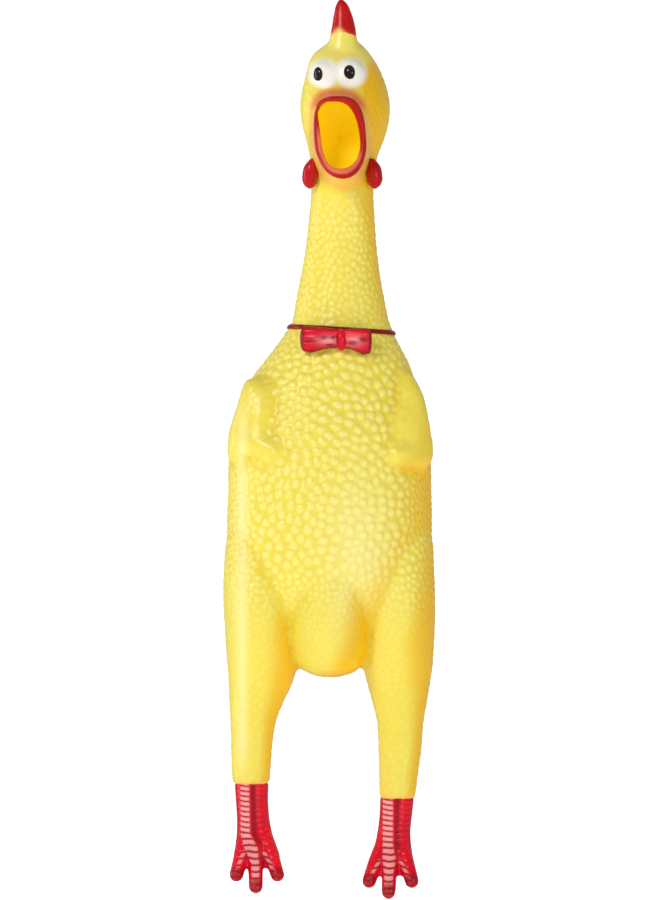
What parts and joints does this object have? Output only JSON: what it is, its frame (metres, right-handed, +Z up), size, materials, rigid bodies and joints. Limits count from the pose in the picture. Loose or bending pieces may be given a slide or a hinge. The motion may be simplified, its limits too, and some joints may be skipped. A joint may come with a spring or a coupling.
{
  "type": "rubber chicken",
  "caption": "Hollow soft vinyl novelty chicken with a gaping beak, bow tie, folded wings, dangling legs and a squeaker in its throat.",
  "frame": {"origin": "middle of the chest, inside the hollow body where a hand squeezes it", "axes": "+Z up from the feet to the comb, front faces -Y, +X to the right as seen from the front"},
  "size_m": [0.0932, 0.068, 0.3989],
  "materials": {
    "vinyl_yellow": "soft glossy vinyl with pebbled skin",
    "vinyl_red": "glossy red paint on vinyl",
    "vinyl_orange": "satin vinyl",
    "bow_red": "glossy red paint on vinyl",
    "bow_band": "glossy dark red paint on vinyl",
    "eye_white": "glossy cream paint",
    "eye_black": "glossy black paint",
    "squeaker_plastic": "plain moulded plastic",
    "reed_brass": "thin sheet"
  },
  "bodies": {
    "torso": {"torso_skin": "vinyl_yellow", "wing_left": "vinyl_yellow", "wing_right": "vinyl_yellow", "neck_band": "bow_band", "bow_loop_left": "bow_red", "bow_loop_right": "bow_red", "bow_knot": "bow_red"},
    "belly": {"belly_panel": "vinyl_yellow"},
    "neck": {"neck_skin": "vinyl_yellow"},
    "head": {"head_skin": "vinyl_yellow", "mouth_liner": "vinyl_orange", "beak_lip": "vinyl_red", "comb": "vinyl_red", "wattle_left": "vinyl_red", "wattle_right": "vinyl_red", "eyeball_left": "eye_white", "eyeball_right": "eye_white", "pupil_left": "eye_black", "pupil_right": "eye_black", "squeaker_body": "squeaker_plastic", "squeaker_cap": "squeaker_plastic", "squeaker_collar": "squeaker_plastic", "reed_holder": "squeaker_plastic", "reed_wedge": "squeaker_plastic"},
    "reed": {"reed_tongue": "reed_brass"},
    "upper_leg_left": {"leg_upper_left": "vinyl_yellow"},
    "lower_leg_left": {"leg_lower_left": "vinyl_yellow", "shank_left": "vinyl_red"},
    "foot_left": {"foot_left": "vinyl_red"},
    "upper_leg_right": {"leg_upper_right": "vinyl_yellow"},
    "lower_leg_right": {"leg_lower_right": "vinyl_yellow", "shank_right": "vinyl_red"},
    "foot_right": {"foot_right": "vinyl_red"}
  },
  "joints": [
    {"name": "neck_bend", "type": "hinge", "parent": "torso", "child": "neck", "pos_m": [0.005, 0, 0.066], "axis": [1, 0, 0], "range_deg": [-50, 70], "stiffness_Nm_per_rad": 0.25, "deforming": ["neck_skin"]},
    {"name": "head_tilt", "type": "hinge", "parent": "neck", "child": "head", "pos_m": [0.0053, 0, 0.091], "axis": [0, 1, 0], "range_deg": [-45, 45], "stiffness_Nm_per_rad": 0.15},
    {"name": "belly_squeeze", "type": "slide", "parent": "torso", "child": "belly", "axis": [0, 1, 0], "range_m": [0, 0.02], "stiffness_N_per_m": 300},
    {"name": "reed_flex", "type": "hinge", "parent": "head", "child": "reed", "pos_m": [0.0056, -0.0001, 0.11], "axis": [1, 0, 0], "range_deg": [-4, 4], "stiffness_Nm_per_rad": 0.0005},
    {"name": "hip_swing_left", "type": "hinge", "parent": "torso", "child": "upper_leg_left", "pos_m": [-0.033, -0.004, -0.113], "axis": [1, 0, 0], "range_deg": [-90, 60], "stiffness_Nm_per_rad": 0.05, "deforming": ["leg_upper_left"]},
    {"name": "leg_splay_left", "type": "hinge", "parent": "upper_leg_left", "child": "lower_leg_left", "pos_m": [-0.0346, -0.004, -0.132], "axis": [0, 1, 0], "range_deg": [-18, 60], "stiffness_Nm_per_rad": 0.03},
    {"name": "ankle_bend_left", "type": "hinge", "parent": "lower_leg_left", "child": "foot_left", "pos_m": [-0.0344, -0.004, -0.1615], "axis": [1, 0, 0], "range_deg": [-55, 55], "stiffness_Nm_per_rad": 0.04, "deforming": ["shank_left"]},
    {"name": "hip_swing_right", "type": "hinge", "parent": "torso", "child": "upper_leg_right", "pos_m": [0.0314, -0.004, -0.113], "axis": [1, 0, 0], "range_deg": [-90, 60], "stiffness_Nm_per_rad": 0.05, "deforming": ["leg_upper_right"]},
    {"name": "leg_splay_right", "type": "hinge", "parent": "upper_leg_right", "child": "lower_leg_right", "pos_m": [0.0315, -0.004, -0.132], "axis": [0, 1, 0], "range_deg": [-60, 18], "stiffness_Nm_per_rad": 0.03},
    {"name": "ankle_bend_right", "type": "hinge", "parent": "lower_leg_right", "child": "foot_right", "pos_m": [0.0294, -0.004, -0.1665], "axis": [1, 0, 0], "range_deg": [-55, 55], "stiffness_Nm_per_rad": 0.04, "deforming": ["shank_right"]}
  ]
}
